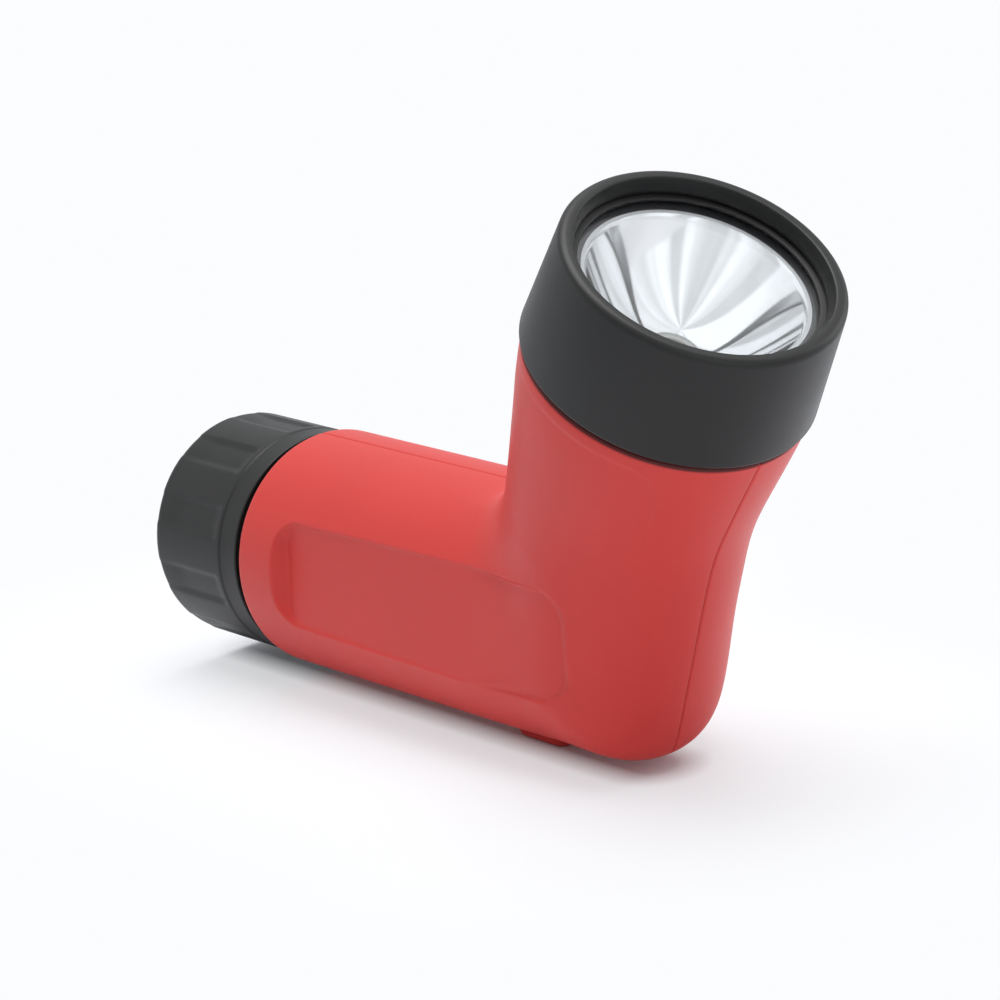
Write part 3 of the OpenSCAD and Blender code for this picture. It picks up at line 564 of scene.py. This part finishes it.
# the flat rim is satin, and dark where the gasket shades it
spread = flow.vector("SUBTRACT", {0: place, 1: CENTRE})
spread = flow.vector("CROSS_PRODUCT", {0: spread, 1: HEAD_3})
spread = flow.vector("LENGTH", {0: spread}, "Value")
satin = spread > DISH_R * MM
shaded = spread > (DISH_R + 0.75) * MM
join(tint(flow, shaded, bright, (0.07, 0.07, 0.075, 1)), shader, "Base Color")
join(haze * 0.08 + satin * 0.36 + 0.04, shader, "Roughness")
join(1.0 - satin * 0.75, shader, "Metallic")
dress(reflector, mirror_coat)
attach(reflector, "body")
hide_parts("reflector")

# Light source and what carries it: a domed emitter on a round metal-backed board, a white centring ring,
# a turned heat sink behind them and three screws that draw the stack up against the reflector's posts.
def metal_finish(name, low, high, rough, stretch=(1, 1, 1)):
    """Bare metal with fine tool marks along one way."""
    finish, shader, flow = new_finish(name)
    place = flow.make("ShaderNodeTexCoord", out="Object")
    laid = flow.make("ShaderNodeMapping", None, {"Vector": place, "Scale": stretch})
    marks = flow.noise(laid, 600.0, 4.0)
    join(tint(flow, marks, low, high), shader, "Base Color")
    join(marks * 0.2 + (rough - 0.1), shader, "Roughness")
    shader.inputs["Metallic"].default_value = 1.0
    relief = {"Strength": 0.15, "Distance": 0.00003, "Height": marks}
    join(flow.make("ShaderNodeBump", None, relief, "Normal"), shader, "Normal")
    return finish


light_metal = metal_finish(
    "turned_light_metal", (0.62, 0.63, 0.64, 1), (0.76, 0.76, 0.77, 1), 0.34, (1, 1, 9)
)
steel = metal_finish("bright_steel", (0.5, 0.5, 0.5, 1), (0.66, 0.66, 0.65, 1), 0.3)
brass = metal_finish("spring_brass", (0.62, 0.43, 0.15, 1), (0.74, 0.56, 0.24, 1), 0.3)
white_plastic = moulded_finish("white_moulded", (0.68, 0.68, 0.66, 1), (0.78, 0.78, 0.76, 1), 0.45, 0.15)
emitter, shader, flow = new_finish("emitter_dome")
place = flow.make("ShaderNodeTexCoord", out="Object")
coat = flow.noise(place, 1500.0, 2.0)
join(tint(flow, coat, (0.80, 0.62, 0.14, 1), (0.88, 0.76, 0.30, 1)), shader, "Base Color")
join(coat * 0.1 + 0.12, shader, "Roughness")
shader.inputs["Coat Weight"].default_value = 0.6
dress(nodes["led_emitter"], emitter)
dress(nodes["led_board"], light_metal)
dress(nodes["heat_sink"], light_metal)
dress(nodes["led_spacer"], white_plastic)
dress(nodes["lamp_screws"], steel)

# Driver electronics in the elbow: a lacquered board on two rails with its parts, wires and switch case.
# The contact board at the end of the battery bore carries two cone springs.
def circuit_finish(name):
    """Green lacquer over copper tracks that show as paler lines."""
    finish, shader, flow = new_finish(name)
    place = flow.make("ShaderNodeTexCoord", out="Object")
    where = {"Vector": place, "Scale": 260.0}
    cells = flow.make("ShaderNodeTexVoronoi", {"feature": "DISTANCE_TO_EDGE"}, where, "Distance")
    tracks = cells > 0.12
    join(tint(flow, tracks, (0.05, 0.26, 0.1, 1), (0.015, 0.12, 0.045, 1)), shader, "Base Color")
    join(tracks * 0.08 + 0.26, shader, "Roughness")
    shader.inputs["Coat Weight"].default_value = 0.3
    return finish


circuit = circuit_finish("lacquered_board")
dark_plastic = moulded_finish("dark_moulded", (0.010, 0.010, 0.010, 1), (0.015, 0.015, 0.015, 1), 0.42, 0.3)
wire_coat = moulded_finish("wire_coat", (0.36, 0.02, 0.02, 1), (0.46, 0.035, 0.03, 1), 0.4, 0.1)
for name in ("driver_board", "contact_board", "pack_front_plate", "pack_rear_plate"):
    dress(nodes[name], circuit)
for name in ("driver_parts", "switch_case", "charge_socket", "slider_plate"):
    dress(nodes[name], dark_plastic)
for name in ("lamp_wires", "battery_wires"):
    dress(nodes[name], wire_coat)
dress(nodes["board_screws"], steel)
dress(nodes["contact_springs"], brass)
dress(nodes["switch_lever"], white_plastic)

# Battery pack: three cells in a shrunk sleeve between two end plates, joined by spot-welded strips.
# The charging socket on its rear plate is reached with the tail cap off.
cell_wrap = moulded_finish("cell_wrap", (0.02, 0.09, 0.27, 1), (0.035, 0.13, 0.36, 1), 0.3, 0.08)
dress(nodes["battery_cells"], cell_wrap)
dress(nodes["pack_sleeve"], cell_wrap)
dress(nodes["cell_links"], steel)

# Switch: a ribbed red thumb piece under the handle that slides forward along its flat.
# Its stem goes through a slot in the seam to a plate inside.
def cube_piece(size, centre):
    bare()
    bpy.ops.mesh.primitive_cube_add(size=1)
    piece = bpy.context.object
    piece.scale = [v * MM for v in size]
    piece.location = [(v + e) * MM for v, e in zip(centre, ELBOW)]
    bpy.ops.object.transform_apply(location=True, rotation=True, scale=True)
    return piece


thumb = cube_piece((15, 12, 3.7), (THUMB_X, 0, -25.65))
bpy.ops.object.mode_set(mode="EDIT")
bpy.ops.mesh.select_all(action="DESELECT")
bpy.ops.mesh.select_mode(type="EDGE")
bpy.ops.object.mode_set(mode="OBJECT")
for edge in thumb.data.edges:
    a, b = (thumb.data.vertices[i].co for i in edge.vertices)
    edge.select = abs(a.z - b.z) > 0.002
bpy.ops.object.mode_set(mode="EDIT")
bpy.ops.mesh.bevel(offset=2.9 * MM, segments=8)
bpy.ops.mesh.select_all(action="DESELECT")
bpy.ops.object.mode_set(mode="OBJECT")
lowest = min(v.co.z for v in thumb.data.vertices)
for edge in thumb.data.edges:
    edge.select = all(thumb.data.vertices[i].co.z < lowest + 0.00001 for i in edge.vertices)
bpy.ops.object.mode_set(mode="EDIT")
bpy.ops.mesh.bevel(offset=2.3 * MM, segments=8)
bpy.ops.object.mode_set(mode="OBJECT")
ribs = []
for i in (-1, 0, 1):
    bare()
    bpy.ops.mesh.primitive_cylinder_add(
        vertices=32, radius=0.6 * MM, depth=8 * MM, rotation=(math.pi / 2, 0, 0)
    )
    rib = bpy.context.object
    rib.location = ((ELBOW[0] + THUMB_X + 3 * i) * MM, 0, 0)
    ribs.append(rib)
    cut = thumb.modifiers.new("rib", "BOOLEAN")
    cut.object = rib
    cut.operation = "DIFFERENCE"
edge = thumb.modifiers.new("edge", "BEVEL")
edge.width = 0.55 * MM
edge.segments = 4
edge.limit_method = "ANGLE"
edge.angle_limit = math.radians(50)
apply_all(thumb)
for rib in ribs:
    bpy.data.objects.remove(rib)
stem = cube_piece((5, 4.4, 4.9), (THUMB_X, 0, -21.6))
bare()
stem.select_set(True)
thumb.select_set(True)
bpy.context.view_layer.objects.active = thumb
bpy.ops.object.join()
settle(thumb, "thumb_slider", 30)
dress(thumb, red_plastic)
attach(thumb, "switch")
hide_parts("switch_slider")

# Lens: a clear polished disc with ground edges that lies on the reflector's rim.
# A dark gasket on top of it seals it under the ring's lip.
lens = turned(
    "clear_lens",
    [(0.0, 83.92), (24.9, 83.92)] + arc(25.1, 84.2, 0.28, -90, 0, 4) + arc(25.1, 85.2, 0.28, 0, 90, 4)
    + [(24.9, 85.48), (0.0, 85.48)],
    steps=144, angle=20,
)
clear, shader, flow = new_finish("clear_lens")
place = flow.make("ShaderNodeTexCoord", out="Object")
wipe = flow.noise(place, 90.0, 3.0)
join(wipe * 0.03 + 0.005, shader, "Roughness")
shader.inputs["Base Color"].default_value = (0.98, 0.99, 1.0, 1)
shader.inputs["Transmission Weight"].default_value = 1.0
shader.inputs["IOR"].default_value = 1.45
dress(lens, clear)
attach(lens, "lens_pack")
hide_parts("lens")
lens_gasket = turned(
    "lens_gasket_ring",
    arc(23.2, 86.0, 0.2, 180, 90, 4) + [(25.35, 86.2), (25.35, 85.5)] + arc(23.2, 85.7, 0.2, -90, -180, 4),
)
grey_gasket = moulded_finish("grey_gasket", (0.018, 0.018, 0.018, 1), (0.026, 0.026, 0.025, 1), 0.5, 0.2)
dress(lens_gasket, grey_gasket)
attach(lens_gasket, "lens_pack")
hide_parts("lens_gasket")

# Head ring: a heavy dark moulding that screws over the spigot, with a rounded front rim,
# a flat face, a tapered mouth and a lip that presses the gasket onto the lens.
head_ring = turned(
    "head_ring",
    [(26.2, 65.4)] + arc(28.0, 66.3, 0.9, -90, 0, 8)
    + arc(RING_FRONT_R - RIM_ROUND, RING_FRONT_S - RIM_ROUND, RIM_ROUND, 3, 90, 10)
    + arc(25.2, RING_FRONT_S - 0.4, 0.4, 90, 165, 5)
    + arc(24.35, 87.45, 0.25, 165, 180, 2) + arc(24.4, 86.8, 0.3, 180, 270, 4) + [(26.2, 86.5)],
    steps=192, angle=30,
)
dress(head_ring, dark_plastic)
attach(head_ring, "head_ring")
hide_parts("bezel_ring")

# Tail spring and its seat: bright steel wire that narrows towards the battery pack.
# It presses the pack onto its contacts when the cap is tight.
dress(nodes["tail_spring"], steel)
dress(nodes["spring_seat"], steel)

# Tail cap: a dark moulded screw cap with ten shallow grooves that run out towards its rear edge
# and a plain collar with a stepped mouth.
CAP_R, CAP_ROUND, COLLAR_R, CAP_BORE_R = 24.1, 2, 23.9, 22.5
GROOVE_STEP, GROOVE_START, GROOVE_DEPTH = 36, 95, 0.62
cap_rows = (
    [(0.0, CAP_END_X), (8.0, CAP_END_X), (16.0, CAP_END_X), (21.0, CAP_END_X)]
    + arc(CAP_R - CAP_ROUND, CAP_END_X + CAP_ROUND, CAP_ROUND, -90, 0, 9)
    + [(CAP_R, x) for x in np.arange(-111, -91.5, 1.3)]
    + [(CAP_R, x) for x in (-91.3, -90.9, -90.5, -90.1, -89.7, -89.1)]
    + [(24.06, -88.85), (23.94, -88.65), (COLLAR_R, -88.3), (COLLAR_R, -85.5), (COLLAR_R, -83.6)]
    + arc(COLLAR_R - 0.3, -83.4, 0.3, 0, 90, 4) + [(22.75, -83.1), (22.65, -83.0), (22.65, -82.1)]
    + [(CAP_BORE_R, -82.1), (CAP_BORE_R, -100.3), (20.8, -100.3), (20.8, -110.4), (0.0, -110.4)]
)
tail_cap = turned("fluted_tail_cap", cap_rows, along_head=False, steps=240)
spots = np.zeros(len(tail_cap.data.vertices) * 3)
tail_cap.data.vertices.foreach_get("co", spots)
spots = spots.reshape(-1, 3) / MM - ELBOW
radius = np.hypot(spots[:, 1], spots[:, 2])
angle = np.degrees(np.arctan2(spots[:, 2], -spots[:, 1]))
off = np.abs((angle - GROOVE_START + GROOVE_STEP / 2) % GROOVE_STEP - GROOVE_STEP / 2)
depth = GROOVE_DEPTH * (1 - ease(off, 6.3, 8.9)) * ease(-spots[:, 0], 90.0, 91.4)
depth = np.where(radius > 22.55, depth, 0) * np.clip((radius - CAP_BORE_R) / 0.9, 0, 1)
inside = (spots[:, 0] > -100) & (radius < 22.6)
depth = np.where(inside, 0, depth) * (1 - 0.75 * ease(-spots[:, 0], 103, 112))
scale = 1 - depth / np.maximum(radius, 1)
spots[:, 1] *= scale
spots[:, 2] *= scale
tail_cap.data.vertices.foreach_set("co", ((spots + ELBOW) * MM).ravel())
tail_cap.data.update()
dress(tail_cap, dark_plastic)
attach(tail_cap, "cap")
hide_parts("tail_cap")

# Studio: a pale floor whose glow takes over from its shadow away from the lamp, a bright world
# with a broken pattern that only the dish shows, four soft lamps and the camera.
bare()
bpy.ops.mesh.primitive_plane_add(size=6)
floor = bpy.context.object
floor.name = "floor"
pale, shader, flow = new_finish("pale_floor")
place = flow.make("ShaderNodeTexCoord", out="Object")
grain = flow.noise(place, 3.0, 2.0)
join(tint(flow, grain, (0.86, 0.88, 0.92, 1), (0.90, 0.91, 0.94, 1)), shader, "Base Color")
shader.inputs["Roughness"].default_value = 0.7
across = flow.make("ShaderNodeSeparateXYZ", None, {0: place}, out="X")
depth_in = flow.make("ShaderNodeSeparateXYZ", None, {0: place}, out="Y")
side = flow.sum_of("MAXIMUM", flow.sum_of("ABSOLUTE", across + 0.025, 0.0) - 0.065, 0.0)
under_cap = flow.ramp(across, -0.05, -0.01, 0.03, 0.0)
ahead = flow.sum_of("MAXIMUM", flow.sum_of("MAXIMUM", depth_in * -1.0, depth_in - under_cap), 0.0)
far = flow.sum_of("SQRT", side * side + ahead * ahead, 0.0)
share = flow.ramp(far, 0.0045, 0.012, 0.0, 0.57) + flow.ramp(far, 0.01, 0.09, 0.0, 0.43)
seen = flow.make("ShaderNodeLightPath", out="Is Camera Ray")
through = flow.make("ShaderNodeLightPath", out="Is Transmission Ray")
shown = seen + through > 0.5
glow = flow.make("ShaderNodeEmission", None, {"Color": (0.97, 0.98, 1.0, 1), "Strength": 1.0})
base = Flow(pale.node_tree, shader.outputs[0])
mixed = flow.make("ShaderNodeMixShader", None, {0: share * shown, 1: base, 2: glow})
join(mixed, pale.node_tree.nodes["Material Output"], "Surface")
dress(floor, pale)

world = bpy.data.worlds.new("studio")
bpy.context.scene.world = world
world.use_nodes = True
sky = Flow(world.node_tree)
lit = world.node_tree.nodes["Background"]
lit.inputs["Color"].default_value = (0.96, 0.98, 1.0, 1)
seen = sky.make("ShaderNodeLightPath", out="Is Camera Ray") * 0.58
seen = seen + sky.make("ShaderNodeLightPath", out="Is Glossy Ray") * 0.4
through = sky.make("ShaderNodeLightPath", out="Is Transmission Ray")
way = sky.make("ShaderNodeTexCoord", out="Generated")
lean = sky.vector("DOT_PRODUCT", {0: way, 1: HEAD_3}, "Value")
lean = sky.vector("SCALE", {0: HEAD_3, "Scale": lean})
round_axis = sky.vector("SUBTRACT", {0: way, 1: lean})
round_axis = sky.vector("NORMALIZE", {0: round_axis})
panels = sky.ramp(sky.noise(round_axis, 2.1, 2.0), 0.4, 0.56, 0.0, 1.0)
join(seen + through * panels * 0.5 + 0.42, lit, "Strength")


def soft_lamp(name, place, aim, size, power):
    bare()
    bpy.ops.object.light_add(type="AREA", location=place)
    lamp = bpy.context.object
    lamp.name = name
    lamp.data.shape = "RECTANGLE"
    lamp.data.size, lamp.data.size_y = size
    lamp.data.energy = power
    lamp.visible_transmission = False
    lamp.rotation_euler = (Vector(aim) - Vector(place)).to_track_quat("-Z", "Y").to_euler()
    return lamp


target = (0.0, 0.0, 0.05)
soft_lamp("overhead", (-0.1, 0.04, 0.95), target, (0.8, 0.6), 8.8)
soft_lamp("front_side", (0.9, -0.1, 0.4), target, (0.5, 0.5), 1.0)
soft_lamp("left_side", (-0.7, -0.6, 0.4), target, (0.3, 0.7), 0.35)
soft_lamp("right_side", (0.3, 0.85, 0.4), target, (0.3, 0.7), 2)

camera_data = bpy.data.cameras.new("camera")
camera = bpy.data.objects.new("camera", camera_data)
bpy.context.scene.collection.objects.link(camera)
right = Vector((0.6248, 0.774, -0.1025))
up = Vector((-0.1573, 0.2534, 0.9545))
ahead = Vector((-0.7647, 0.5803, -0.2801))
spot = (Vector((586.79, -461.4, 242.56)) + Vector(ELBOW)) * MM
camera.matrix_world = Matrix((
    (right.x, up.x, -ahead.x, spot.x),
    (right.y, up.y, -ahead.y, spot.y),
    (right.z, up.z, -ahead.z, spot.z),
    (0, 0, 0, 1),
))
camera_data.lens = 144
camera_data.sensor_width = 36
bpy.context.scene.camera = camera
